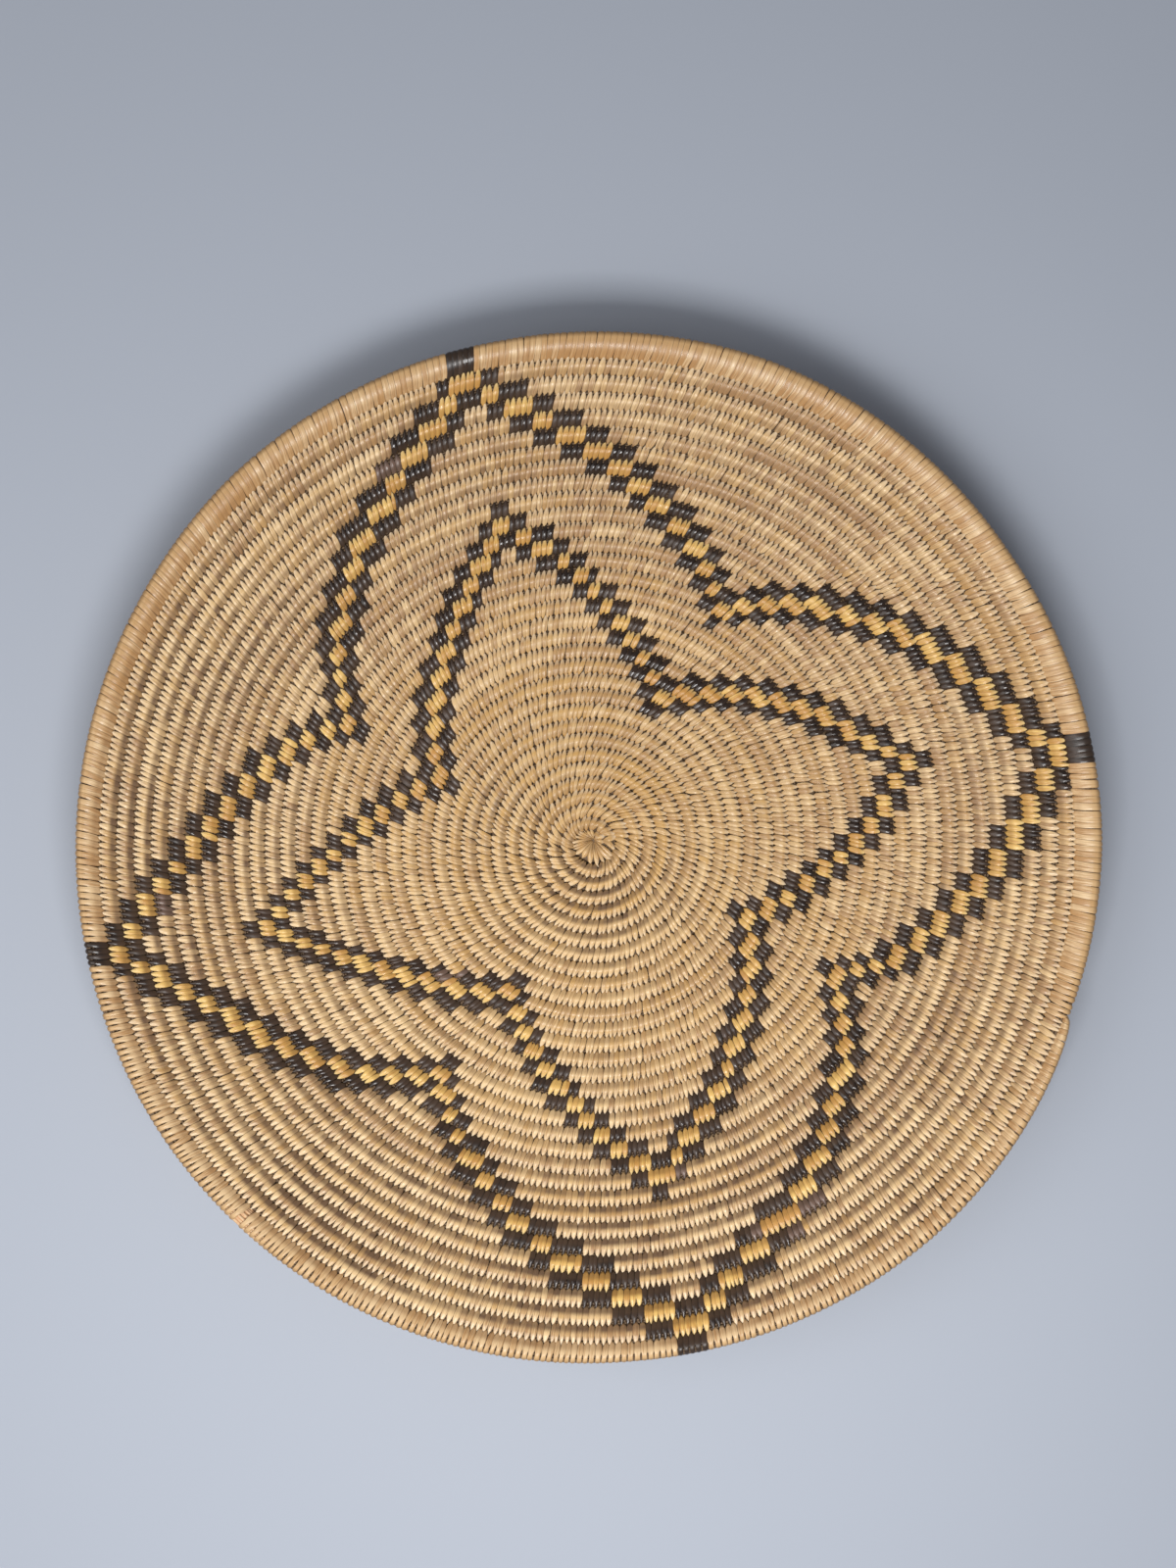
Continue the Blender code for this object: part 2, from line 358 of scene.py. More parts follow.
INNER_STAR = {
    "tip_row": 21,
    "tips": [(13.2, 15.6), (104.0, 106.8), (192.5, 195.2), (279.7, 282.5)],
    "valleys": [(61.4, 68.8), (153.2, 160.4), (237.9, 244.8), (331.7, 338.5)],
    "flanks": [
        (13.8, 16.1, 18.5, 21.8, 26.0, 30.4, 34.3, 39.0, 44.2, 48.7, 53.6, 60.7, 66.9),
        (16.1, 13.0, 10.0, 5.7, 2.4, 0.0, -1.5, -4.7, -8.5, -13.0, -17.7, -23.2, -29.0),
        (104.4, 107.0, 109.6, 113.3, 116.6, 120.8, 124.4, 129.2, 134.8, 140.9, 146.4, 153.0, 157.4),
        (107.0, 104.1, 101.0, 97.2, 94.3, 91.0, 88.1, 84.7, 80.6, 76.6, 72.1, 66.9, 62.0),
        (193.9, 195.8, 197.8, 200.4, 202.6, 205.6, 209.1, 213.2, 217.8, 223.3, 230.1, 237.0, 244.5),
        (195.7, 193.3, 191.0, 188.7, 185.9, 183.3, 180.7, 177.4, 173.6, 169.3, 164.5, 159.4, 154.1),
        (279.7, 283.9, 286.6, 290.3, 295.1, 299.4, 303.0, 307.9, 313.5, 318.6, 324.3, 330.5, 337.2),
        (283.4, 280.2, 276.9, 273.8, 270.5, 267.7, 264.3, 260.4, 256.2, 252.2, 248.3, 243.4, 238.6),
    ],
}
FADED_CELLS = [(26, 116.0, 120.5), (26, 186.0, 189.6), (26, 296.6, 299.4), (25, 292.0, 303.3),
               (20, 282.5, 286.5), (11, 219.0, 225.0), (10, 221.0, 226.0)]
NATURAL, DARK, GOLD = 0, 1, 2


def star_cells(star):
    """Cells of one star as (row, from, to, colour), gold last, so that it wins where cells meet."""
    steps = len(star["flanks"][0]) - 1
    tip, valley = star["tip_row"], star["tip_row"] - steps - 1
    dark = [(tip, *cell, DARK) for cell in star["tips"]]
    dark += [(valley, *cell, DARK) for cell in star["valleys"]]
    gold = []
    for edges in star["flanks"]:
        for step in range(steps):
            row = tip - 1 - step
            gold.append((row, edges[step], edges[step + 1], GOLD))
            if step > 0:
                dark.append((row, edges[step - 1], edges[step], DARK))
            if step < steps - 1:
                dark.append((row, edges[step + 1], edges[step + 2], DARK))
    return dark + gold


def chart_place(turns):
    """Chart row and angle in degrees of a place on the coil."""
    count = np.asarray(turns) - CHART_LEAD
    row = np.floor(count)
    return row, (count - row) * 360


def paint(rows, degrees, cells, values):
    """Give each wrap whose middle lies in a cell that cell's value."""
    for row, start, end, value in cells:
        first, last = min(start, end), max(start, end)
        inside = (rows == row) & ((degrees - first) % 360 < last - first)
        values[inside] = value


wrap_rows, wrap_degrees = chart_place(wrap_turns)
wrap_colour = np.full(len(wrap_turns), NATURAL)
wrap_star = np.zeros(len(wrap_turns), dtype=int)
for number, star in enumerate((OUTER_STAR, INNER_STAR), start=1):
    cells = star_cells(star)
    paint(wrap_rows, wrap_degrees, cells, wrap_colour)
    paint(wrap_rows, wrap_degrees, [(*cell[:3], number) for cell in cells], wrap_star)
wrap_faded = np.zeros(len(wrap_turns))
paint(wrap_rows, wrap_degrees, [(*cell, 1.0) for cell in FADED_CELLS], wrap_faded)
print("dark wraps:", int((wrap_colour == DARK).sum()),
      "gold wraps:", int((wrap_colour == GOLD).sum()))

# %% [markdown]
# ## One wrap of splint
#
# A splint is a flat strip, split from a stem and scraped, so a wrap of it is a thin closed band
# round the bundle, a little rounded across. It could be a curve with a bevel, but thousands of
# curves are slow. So one straight-sided ring is spun from the strip's cross-section, and copies of
# it are bent on to the coil. It has only 70 faces, because thousands of copies are made.

# %% Spin one ring as the pattern for all wraps
# The section goes from one edge of the strip to the other, as shares of its half width and of the
# ring's radius. Its two edges are joined straight across on the inside, where nothing shows.
RING_STEPS = 14
STRIP_SECTION = [(-1.0, 0.88), (-0.6, 0.95), (0.0, 0.985), (0.6, 0.95), (1.0, 0.88)]
MERGE_DISTANCE = 1e-5
SHARP_EDGE_DEGREES = 60


def spin_ring():
    """A unit ring about the X axis, spun from the strip's cross-section, with its own UV map."""
    ring = bmesh.new()
    first = math.pi / RING_STEPS
    verts = [ring.verts.new((x, radius * math.cos(first), radius * math.sin(first)))
             for x, radius in STRIP_SECTION]
    edges = [ring.edges.new((verts[i - 1], verts[i])) for i in range(len(verts))]
    bmesh.ops.spin(ring, geom=verts + edges, cent=(0, 0, 0), axis=(1, 0, 0), dvec=(0, 0, 0),
                   angle=2 * math.pi, steps=RING_STEPS, use_merge=True, use_duplicate=False)
    bmesh.ops.remove_doubles(ring, verts=ring.verts, dist=MERGE_DISTANCE)
    bmesh.ops.recalc_face_normals(ring, faces=ring.faces)
    strip_map = ring.loops.layers.uv.new("strip")
    for face in ring.faces:
        face.smooth = True
        turns = [math.atan2(v.co.z, v.co.y) / (2 * math.pi) % 1 for v in face.verts]
        wraps_round = max(turns) - min(turns) > 0.5
        for loop, turn in zip(face.loops, turns):
            along = turn + 1 if wraps_round and turn < 0.5 else turn
            loop[strip_map].uv = ((loop.vert.co.x + 1) / 2, along)
    for edge in ring.edges:
        edge.smooth = edge.calc_face_angle() < math.radians(SHARP_EDGE_DEGREES)
    data = bpy.data.meshes.new("strip_ring")
    ring.to_mesh(data)
    ring.free()
    return data


strip_ring = spin_ring()
ring_points = np.array([vert.co for vert in strip_ring.vertices])
print("faces in one ring:", len(strip_ring.polygons))

# %% [markdown]
# A ring becomes a wrap in one bend. Each point's angle says where it is round the row's section:
# out at the outer seam, up over the top ridge, in to the inner seam and back underneath. The two
# ends differ. The outer end is squeezed to a point by the wraps of the next row, which come
# between, and a dark slot is left beside it. The inner end stays broad, ends in a round lobe, and
# reaches over the seam between two such points. On the rim no row follows, so its outer ends stay
# full. The dyed splints are rounder across than the pale ones, so thin lights run along some.

# %% Bend rings on to the coil
# Each half is listed from the ridge to the seam: share across, share up, share of the full width
# and how strongly the strip is rounded across its width.
STATIONS = [math.sin(2 * math.pi / RING_STEPS * step) for step in range(4)]
OUTER_HALF = dict(across=[0, 0.38, 0.78, TOOTH_REACH], up=[1, 0.87, 0.72, 0.52],
                  width=[0.98, 0.84, 0.62, 0.24], crown=[0.5, 0.9, 1.2, 1.5])
INNER_HALF = dict(across=[0, 0.50, 1.00, LOBE_REACH], up=[1, 0.90, 0.74, 0.60],
                  width=[1, 1, 0.94, 0.50], crown=[0.5, 0.6, 0.8, 1.1])
RIM_OUTER_HALF = dict(across=[0, 0.45, 0.83, 1.01], up=[1, 0.90, 0.62, 0.20],
                      width=[0.86, 0.72, 0.74, 0.82], crown=[0.5, 0.8, 1.0, 1.2])
DYED_OUTER_HALF = dict(OUTER_HALF, up=[1, 0.87, 0.71, 0.57], crown=[1.2, 1.8, 2.0, 1.8])
DYED_INNER_HALF = dict(INNER_HALF, crown=[1.2, 1.0, 0.8, 1.1])
STRIP_FILL = 1.04
FLATTENING = 0.6
EARLY_ROUNDING = 2.0


def bend_rings(turns, steps, lean, tooth, lobe, lift, full, tilt, edges_at=row_edges,
               halves=(OUTER_HALF, INNER_HALF)):
    """World places of every ring's points, and how far across the row each point is.

    tooth and lobe stretch the outer and inner end of each wrap, lift raises its surface, full makes
    its ends blunter and makes it flatter on the rim and rounder elsewhere, tilt raises its outer
    side, and halves gives its section's shape.
    """
    x, y, z = ring_points.T
    depth = np.hypot(y, z)
    out_from_ridge = np.abs(y) / depth
    is_outer = y > 0
    shape = {key: np.where(is_outer, np.interp(out_from_ridge, STATIONS, halves[0][key]),
                           np.interp(out_from_ridge, STATIONS, halves[1][key]))
             for key in ("across", "up", "width", "crown")}
    turns, steps, lean, tooth, lobe, lift, full, tilt = (
        np.asarray(value)[:, None] for value in (turns, steps, lean, tooth, lobe, lift, full, tilt))
    flattening = np.where(turns > TURNS - 1, FLATTENING, -EARLY_ROUNDING) * full
    rounded = 1 - (1 - depth) * shape["crown"] * (1 - flattening)
    across = shape["across"] * np.where(is_outer, tooth, -lobe) * rounded
    up = np.maximum(-1.0, np.sign(z) * (shape["up"] * (rounded + lift) + tilt * across))
    around = 2 * np.pi * row_radius(turns)
    width = shape["width"] + (1 - shape["width"]) * full
    places = turns + x * steps / 2 * STRIP_FILL * width - lean / 2 * across / around
    return put_on_section(places, edges_at(places), across, up), across


print("rings bend to a section", COIL_THICKNESS * 1000, "mm thick")

# %% [markdown]
# ## Finishes
#
# The pale wraps are peeled and scraped sumac or willow splints that have yellowed with age. Each
# length of splint has its own tone, and the fibres run along it. The ridges and points are a little
# glossy. The points are paler, partly the splint's own colour and partly painted highlight. Dust
# lies on the inner half of each row, with painted shade added to it, and the strip's edges get
# painted shade where they lie in the grooves. The colours follow each wrap's own values: "tone",
# "warmth" and "dust", which change from splint to splint, and "across", the place across
# the row. The fibres follow the strip's UV map.

# %% Splint finishes
# The fibres of a real splint are about 0.1 mm wide, too fine to show here, so they are drawn
# 0.45 mm wide, as coarse as it takes to see them.
RING_LENGTH_MM = 15.5
STRIP_WIDTH_MM = 1.8
FIBRE_WIDTH_MM = 0.45
FIBRE_LENGTH_MM = 5.0
FIBRE_DETAIL = 3.0
FIBRE_SHIFT = 37.0
FIBRE_STREAKS = 0.55
FIBRE_RELIEF = 0.0002
DULL_FIBRE, GLOSSY_FIBRE = 0.16, 0.08
DUST_PATCH = 0.040
DUST_DETAIL = 2.0
DUST_LEAST = 0.5
SPLINT_IOR = 1.5

# Noise lies mostly between these two values.
NOISE_SPAN = {"From Min": 0.35, "From Max": 0.65}
# Where each layer of colour begins and where it is full, across the row, and how strong it gets.
# The groove's layer goes by the distance from the strip's middle line instead, in strip widths.
# On pale and gold splints the tip and end layers are partly painted highlight; on the rim they are
# painted shade.
TIP_SPAN = {"From Min": 0.15, "From Max": 0.75, "To Max": 0.7}
END_SPAN = {"From Min": 0.75, "From Max": 1.05, "To Max": 0.75}
DUST_AND_SHADE_SPAN = {"From Min": 0.05, "From Max": -0.65, "To Max": 1.0}
# The lobe's layer takes dust off the lobe's end: painted light against the shade of its slope.
LOBE_SPAN = {"From Min": -0.75, "From Max": -1.15, "To Min": 1.0, "To Max": 0.8}
# The groove's layer is painted shade along the strip's edges.
GROOVE_SPAN = {"From Min": 0.40, "From Max": 0.5, "To Max": 0.72}


def splint_finish(name, pale, deep, warm, tip, end, dust, groove, roughness, uneven, shine, bump):
    """A scraped splint: fibres along it, tip and end layers that are partly painted highlight on
    pale splints and painted shade on the rim, dust with painted shade on its inner half, and
    painted shade on its edges.
    """
    finish = bpy.data.materials.new(name)
    finish.use_nodes = True
    tree = finish.node_tree
    shader = tree.nodes["Principled BSDF"]
    strip = add_node(tree, "ShaderNodeUVMap", {"uv_map": "strip"})
    spot = add_node(tree, "ShaderNodeTexCoord")
    tone, warmth, across, dustiness = (
        add_node(tree, "ShaderNodeAttribute", {"attribute_name": key}).outputs["Fac"]
        for key in ("tone", "warmth", "across", "dust"))

    # Fibres run along the strip, and each wrap reads its own part of the noise.
    stretch = add_node(tree, "ShaderNodeMapping", {
        "Scale": (STRIP_WIDTH_MM / FIBRE_WIDTH_MM, RING_LENGTH_MM / FIBRE_LENGTH_MM, 1)},
        {"Vector": strip.outputs["UV"]})
    own_part = add_node(tree, "ShaderNodeMath", {"operation": "MULTIPLY", 1: FIBRE_SHIFT},
                        {0: tone})
    fibres = add_node(tree, "ShaderNodeTexNoise", {
        "noise_dimensions": "4D", "Scale": 1.0, "Detail": FIBRE_DETAIL},
        {"Vector": stretch.outputs["Vector"], "W": own_part.outputs["Value"]})
    streaks = add_node(tree, "ShaderNodeMapRange", {
        **NOISE_SPAN, "To Min": -FIBRE_STREAKS, "To Max": FIBRE_STREAKS},
        {"Value": fibres.outputs["Fac"]})
    paleness = add_node(tree, "ShaderNodeMath", {"operation": "ADD", "use_clamp": True},
                        {0: tone, 1: streaks.outputs["Result"]})

    # The outer half gets the tip colour and its very end the end colour: partly the splint's own
    # paler colour and partly painted highlight on pale and gold splints, painted shade on the rim.
    outward = add_node(tree, "ShaderNodeMapRange", TIP_SPAN, {"Value": across})
    at_end = add_node(tree, "ShaderNodeMapRange", END_SPAN, {"Value": across})

    # Dust lies on the inner half, in patches, and each wrap's amount adds painted shade, most
    # towards the lower left and in the first turns. Less of it lies on the lobe's end: painted
    # light against the shade of the lobe's downward slope.
    inward = add_node(tree, "ShaderNodeMapRange", {
        "interpolation_type": "SMOOTHSTEP", **DUST_AND_SHADE_SPAN}, {"Value": across})
    on_lobe = add_node(tree, "ShaderNodeMapRange", LOBE_SPAN, {"Value": across})
    clouds = add_node(tree, "ShaderNodeTexNoise", {
        "Scale": 1 / DUST_PATCH, "Detail": DUST_DETAIL}, {"Vector": spot.outputs["Object"]})
    patches = add_node(tree, "ShaderNodeMapRange", {
        **NOISE_SPAN, "To Min": DUST_LEAST, "To Max": 1.0}, {"Value": clouds.outputs["Fac"]})
    dusty = inward.outputs["Result"]
    for share in (on_lobe.outputs["Result"], patches.outputs["Result"], dustiness):
        part = add_node(tree, "ShaderNodeMath", {"operation": "MULTIPLY"}, {0: dusty, 1: share})
        dusty = part.outputs["Value"]

    # The strip's two long edges lie in the grooves, where they get painted shade.
    sideways = add_node(tree, "ShaderNodeSeparateXYZ", {}, {0: strip.outputs["UV"]})
    from_middle = add_node(tree, "ShaderNodeMath", {"operation": "SUBTRACT", 1: 0.5},
                           {0: sideways.outputs["X"]})
    to_edge = add_node(tree, "ShaderNodeMath", {"operation": "ABSOLUTE"},
                       {0: from_middle.outputs["Value"]})
    at_edge = add_node(tree, "ShaderNodeMapRange", GROOVE_SPAN, {"Value": to_edge.outputs["Value"]})

    # The layers of colour, each mixed over what lies below it.
    colour = add_node(tree, "ShaderNodeMix", {
        "data_type": "RGBA", 6: linear(deep), 7: linear(pale)},
        {"Factor": paleness.outputs["Value"]})
    for layer, share in ((warm, warmth), (tip, outward.outputs["Result"]),
                         (end, at_end.outputs["Result"]), (dust, dusty),
                         (groove, at_edge.outputs["Result"])):
        colour = add_node(tree, "ShaderNodeMix", {"data_type": "RGBA", 7: linear(layer)},
                          {"Factor": share, 6: colour.outputs[2]})
    tree.links.new(colour.outputs[2], shader.inputs["Base Color"])

    # Pale fibres are smoother than dark ones, and the fibres stand up a little.
    polish = add_node(tree, "ShaderNodeMapRange", {
        **NOISE_SPAN, "To Min": roughness + DULL_FIBRE, "To Max": roughness - GLOSSY_FIBRE},
        {"Value": fibres.outputs["Fac"]})
    gloss = add_node(tree, "ShaderNodeMath", {"operation": "MULTIPLY_ADD", 1: uneven},
                     {0: tone, 2: polish.outputs["Result"]})
    tree.links.new(gloss.outputs["Value"], shader.inputs["Roughness"])
    relief = add_node(tree, "ShaderNodeBump", {"Strength": bump, "Distance": FIBRE_RELIEF},
                      {"Height": fibres.outputs["Fac"]})
    tree.links.new(relief.outputs["Normal"], shader.inputs["Normal"])
    shader.inputs["Specular IOR Level"].default_value = shine
    shader.inputs["IOR"].default_value = SPLINT_IOR
    return finish


# Peeled and scraped sumac: the scraping leaves a smooth, satin skin. Its paler tip and end are
# partly its own colour and partly painted highlight, and its groove colour is painted shade.
natural_finish = splint_finish(
    "peeled_splint", pale="#f6d19a", deep="#bb9062", warm="#dbab64", tip="#fce2bc",
    end="#fde8cc", dust="#80644b", groove="#6c4e33",
    roughness=0.26, uneven=0.08, shine=0.5, bump=0.8)
# The same splint on the rim, warmer. Its darker tip and end colours are painted shade on the rim's
# outer side, darkest at the outer ends, and its groove colour is painted shade too.
rim_finish = splint_finish(
    "rim_splint_with_painted_shade", pale="#f2cf9e", deep="#c2935f", warm="#cc9a5e", tip="#dab07a",
    end="#86643f", dust="#a47a50", groove="#704e30",
    roughness=0.28, uneven=0.08, shine=0.5, bump=0.8)
# A splint dyed or chosen for its golden colour, scraped to the same satin skin. Its paler tip and
# end are partly its own colour and partly painted highlight, and its groove colour is painted
# shade.
gold_finish = splint_finish(
    "golden_splint", pale="#fbce78", deep="#d0984c", warm="#d49a54", tip="#fcdc98",
    end="#fde2a8", dust="#b08448", groove="#74522a",
    roughness=0.25, uneven=0.08, shine=0.5, bump=0.8)
# A splint steeped in black dye and drawn tight: smoother and glossier, so thin lights show on it.
# Its groove colour is painted shade.
dark_finish = splint_finish(
    "black_dyed_splint", pale="#483527", deep="#241810", warm="#84695a", tip="#382a1f",
    end="#3e2f23", dust="#523e2d", groove="#1c130c",
    roughness=0.13, uneven=0.28, shine=0.6, bump=0.25)
finishes = (natural_finish, rim_finish, gold_finish, dark_finish)
print("splint finishes:", ", ".join(finish.name for finish in finishes))

# %% [markdown]
# ## No two wraps alike
#
# A splint lasts for some dozens of wraps, so tones change in runs, with a little more from wrap to
# wrap. The first turns are the roughest, because the coil is tight and hard to sew there, and their
# colour is warmer. The tray is palest at the lower left and darker at the upper right. The inner
# halves of its rows also get painted shade at the lower left, where they face away from the lamps.
# The rim's wraps lie tight against each other on about half of its length, and leave no slots
# there.

# %% Tone, shape, dust and painted shade of every wrap
SPLINT_RUN = 26
TONE_MIDDLE, TONE_SPREAD = 0.5, 0.20
TONE_SWING = 0.18
EARLY_TONE, EARLY_TONE_TURNS = 0.24, 8
WARMTH_GAIN, WARMTH_CUT, WARMTH_MOST = 1.2, 0.6, 0.5
INNER_WARMTH, INNER_WARMTH_TURNS = 0.5, 20
DARK_WARMTH_SHARE = 0.15
FADED_WARMTH = 0.85
ROUGH_TURNS = 2.5
ROUGH_LEAN = 3
TOOTH_SPREAD, ROUGH_TOOTH_SPREAD = 0.035, 0.09
LOBE_SPREAD = 0.03
EARLY_LOBE_CUT, EARLY_LOBE_TURNS = 0.14, 5
LIFT_SPREAD = 0.018
EARLY_FULLNESS, EARLY_FULLNESS_TURNS = 0.4, 4
RIM_TIGHT_PLACES = [0, 0.02, 0.52, 0.60, 0.94, 0.98]
RIM_TIGHTNESS = [0, 0.9, 0.9, 0, 0, 0.8]
# At the lower left the tray is palest, and the inner halves of its rows get the most painted shade,
# where they face away from the lamps.
LOWER_LEFT_AT = math.radians(235)
# Dust on the inner halves by turns; the high share in the first turns is partly painted shade for
# their dark inner halves.
DUST_AND_SHADE_TURNS = [0, 6, 10, 16, 21, 25, 30.9, 31]
DUST_AND_SHADE_BY_TURNS = [0.9, 0.7, 0.4, 0.4, 0.6, 0.9, 0.9, 0.55]
# The swing is painted shade added to the dust.
DUST_MIDDLE, PAINTED_SHADE_SWING = 0.8, 0.35
DUST_SEED, DUST_SPREAD = 5, 0.22
TILT_RUN_TURNS = 0.31
TILT_SPREAD = 0.045


def splint_tones(count):
    """A tone for each wrap: its splint's own, which lasts dozens of wraps, and a little more."""
    tones = np.empty(count)
    start = 0
    while start < count:
        run = int(chance.integers(SPLINT_RUN // 2, SPLINT_RUN * 2))
        tones[start:start + run] = TONE_MIDDLE + TONE_SPREAD * chance.standard_normal()
        start += run
    return np.clip(tones + TONE_SPREAD * chance.standard_normal(count), 0, 1)


count = len(wrap_turns)
towards_dust = np.cos(START_ANGLE + 2 * np.pi * wrap_turns - LOWER_LEFT_AT)
early_roughness = np.exp(-wrap_turns / ROUGH_TURNS)

wrap_tone = splint_tones(count)
wrap_tone += TONE_SWING * towards_dust + EARLY_TONE * np.exp(-wrap_turns / EARLY_TONE_TURNS)
wrap_warmth = np.clip(splint_tones(count) * WARMTH_GAIN - WARMTH_CUT, 0, WARMTH_MOST)
wrap_warmth += INNER_WARMTH * np.clip(1 - wrap_turns / INNER_WARMTH_TURNS, 0, 1)
wrap_warmth = np.where(wrap_colour == DARK, wrap_warmth * DARK_WARMTH_SHARE, wrap_warmth)
wrap_warmth = np.where(wrap_faded > 0, FADED_WARMTH, wrap_warmth)

lean_jitter = LEAN_JITTER_DEGREES * (1 + ROUGH_LEAN * early_roughness)
lean_jitter = lean_jitter * chance.standard_normal(count)
wrap_lean += np.tan(np.radians(lean_jitter)) * COIL_WIDTH
tooth_spread = TOOTH_SPREAD + ROUGH_TOOTH_SPREAD * early_roughness
wrap_tooth = 1 + tooth_spread * chance.standard_normal(count)
wrap_lobe = 1 + LOBE_SPREAD * chance.standard_normal(count)
lobe_cut = EARLY_LOBE_CUT * np.exp(-wrap_turns / EARLY_LOBE_TURNS)
wrap_lobe *= 1 - lobe_cut * np.clip(wrap_turns - 1, 0, 1)
wrap_lift = LIFT_SPREAD * chance.standard_normal(count)
wrap_full = EARLY_FULLNESS * np.exp(-wrap_turns / EARLY_FULLNESS_TURNS)
wrap_full += np.interp(wrap_turns - (TURNS - 1), RIM_TIGHT_PLACES, RIM_TIGHTNESS)

# Dust on each wrap's inner half, with painted shade added towards the lower left and in the first
# turns.
wrap_dust = np.interp(wrap_turns, DUST_AND_SHADE_TURNS, DUST_AND_SHADE_BY_TURNS)
wrap_dust *= DUST_MIDDLE + PAINTED_SHADE_SWING * towards_dust
wrap_dust *= 1 + DUST_SPREAD * np.random.default_rng(DUST_SEED).standard_normal(count)

tilt_places = np.arange(0, TURNS + 1, TILT_RUN_TURNS)
tilts = TILT_SPREAD * chance.standard_normal(len(tilt_places))
wrap_tilt = np.interp(wrap_turns, tilt_places, tilts)
print(f"tone from {wrap_tone.min():.2f} to {wrap_tone.max():.2f}")

# %% [markdown]
# ## The wraps, row by row
#
# Each row's pale wraps are one piece, which stands for that row of the frame. The dark and gold
# wraps of each star are pieces of their own. The copies come from one ring mesh, read again and
# again into the same bmesh, and are bent all at once.

# %% Copy a mesh, mark it, and place it as a piece
def repeat_mesh(mesh, times, name):
    """A new mesh that holds the same small mesh many times over."""
    copies = bmesh.new()
    for _ in range(times):
        copies.from_mesh(mesh)
    data = bpy.data.meshes.new(name)
    copies.to_mesh(data)
    copies.free()
    return data


def give_values(data, **values):
    """Give every point of a mesh a number under each of these names, for its finish to read."""
    for key, numbers in values.items():
        attribute = data.attributes.new(key, "FLOAT", "POINT")
        attribute.data.foreach_set("value", numbers.astype(np.float32))


def add_piece(name, data, finish):
    """Put a mesh in the scene as a piece of the tray, which is all one body."""
    data.materials.append(finish)
    data.update()
    piece = bpy.data.objects.new(name, data)
    bpy.context.scene.collection.objects.link(piece)
    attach(piece, "root")
    return piece


print("points in one ring:", len(ring_points))

# %% Make a piece from many rings
def make_wraps(name, chosen, finish, slot_name, **shape):
    """One piece made of the chosen wraps, with their tone, warmth, dust and painted shade, and
    place across.
    """
    data = repeat_mesh(strip_ring, len(chosen), name)
    settings = dict(turns=wrap_turns[chosen], steps=wrap_steps[chosen], lean=wrap_lean[chosen],
                    tooth=wrap_tooth[chosen], lobe=wrap_lobe[chosen], lift=wrap_lift[chosen],
                    full=wrap_full[chosen], tilt=wrap_tilt[chosen])
    settings.update(shape)
    places, across = bend_rings(**settings)
    data.vertices.foreach_set("co", places.reshape(-1))
    tone, warmth, dust = (np.repeat(values[chosen], len(ring_points))
                          for values in (wrap_tone, wrap_warmth, wrap_dust))
    give_values(data, tone=tone, warmth=warmth, dust=dust, across=across.reshape(-1))
    return add_piece(name, data, finish)


# %% Pale rows, rim, and the wraps of both stars
# Where a wrap has gone from the rim, and how far the gap reaches to each side, in turns.
WORN_PLACE, WORN_REACH = 31.6856, 0.0010

unworn = np.abs(wrap_turns - WORN_PLACE) > WORN_REACH
row_of = np.floor(wrap_turns).astype(int) + 1
for row in range(1, TURNS):
    chosen = np.flatnonzero((row_of == row) & (wrap_colour == NATURAL))
    piece = make_wraps(f"splint_wraps_row_{row:02d}", chosen, natural_finish, "natural_splint")
    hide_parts(f"coil_row_{row:02d}")
on_rim = (row_of == TURNS) & unworn
rim_halves = (RIM_OUTER_HALF, INNER_HALF)
chosen = np.flatnonzero(on_rim & (wrap_colour == NATURAL))
rim = make_wraps("rim_wraps", chosen, rim_finish, "rim_splint", tooth=np.ones(len(chosen)),
                 halves=rim_halves)
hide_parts("rim_coil")
for star, place in ((1, "outer"), (2, "inner")):
    for colour, shade, finish, halves in (
            (DARK, "dark", dark_finish, (DYED_OUTER_HALF, DYED_INNER_HALF)),
            (GOLD, "gold", gold_finish, (OUTER_HALF, INNER_HALF))):
        chosen = np.flatnonzero((wrap_star == star) & (wrap_colour == colour) & (row_of < TURNS))
        make_wraps(f"{shade}_wraps_{place}_star", chosen, finish, f"{shade}_splint", halves=halves)
chosen = np.flatnonzero(on_rim & (wrap_colour == DARK))
make_wraps("dark_wraps_rim", chosen, dark_finish, "dark_splint", tooth=np.ones(len(chosen)),
           halves=rim_halves)

# %% [markdown]
# ## The start knot
#
# The coil begins with a bundle too short to bend round a hole, so it is wrapped over and over
# through the same middle point. The wraps come out as narrow wedges, like a pie. They are the same
# rings, bent so that their inner ends all meet in the middle. One blunt stub stands out on top,
# where the splint was tucked in at the start.

# %% Wedge wraps of the knot
KNOT_WEDGES = 25
KNOT_WIDTH_SPREAD, KNOT_LEAST_WIDTH = 0.35, 0.45
KNOT_WIDE_WEDGES = {1: 2.0, 4: 1.9}
KNOT_OVERLAP = 1.08
KNOT_CENTRE = 0.0002
KNOT_MIDDLE = (0.0006, 0.0013)
KNOT_LEAN_SPREAD = 0.0009
KNOT_TOOTH_SPREAD = 0.16
KNOT_SINK, KNOT_LIFT_SPREAD = 0.04, 0.05
KNOT_TONE, KNOT_TONE_SPREAD = 0.3, 0.35
KNOT_DUST, KNOT_DUST_SHIFT = 0.6, 0.25
KNOT_STUB_TURNS = 0.179
KNOT_STUB = dict(tooth=1.5, lift=0.12, full=0.75, steps=0.075)
KNOT_OUTER_HALF = dict(across=[0, 0.45, 0.85, 1.15], up=[1, 0.95, 0.80, 0.45],
                       width=[1, 0.96, 0.72, 0.15], crown=[1, 1, 1.2, 1.4])
